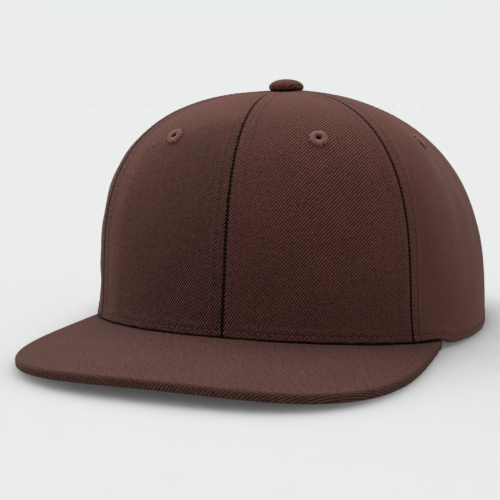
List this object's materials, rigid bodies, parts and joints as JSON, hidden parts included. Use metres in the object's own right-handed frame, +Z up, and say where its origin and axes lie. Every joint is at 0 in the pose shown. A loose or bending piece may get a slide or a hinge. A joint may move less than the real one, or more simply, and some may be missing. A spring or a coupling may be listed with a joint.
{
  "type": "snapback cap",
  "caption": "Flat-brim snapback cap: panelled twill crown with sewn eyelets and a covered button, a flat arched visor, a sweatband and a snap closure across the rear opening.",
  "frame": {"origin": "middle of the whole cap's footprint, on the ground that the hem and the brim's sides rest on", "axes": "+Z up, -Y out over the brim, +X to the wearer's left"},
  "size_m": [0.1794, 0.2548, 0.1109],
  "materials": {
    "crown_twill": "matte diagonal twill",
    "brim_cloth": "matte twill laid over a board",
    "eyelet_thread": "soft satin thread",
    "sweatband_cloth": "matte plain weave",
    "strap_plastic": "satin moulded"
  },
  "bodies": {
    "root": {"front_panel_left": "crown_twill", "front_panel_right": "crown_twill", "side_panel_left": "crown_twill", "side_panel_right": "crown_twill", "back_panel_left": "crown_twill", "back_panel_right": "crown_twill", "eyelet_front_left": "eyelet_thread", "eyelet_front_right": "eyelet_thread", "eyelet_side_left": "eyelet_thread", "eyelet_side_right": "eyelet_thread", "eyelet_back_left": "eyelet_thread", "eyelet_back_right": "eyelet_thread", "button": "crown_twill", "brim": "brim_cloth", "sweatband": "sweatband_cloth", "snap_strap": "strap_plastic"}
  },
  "joints": []
}
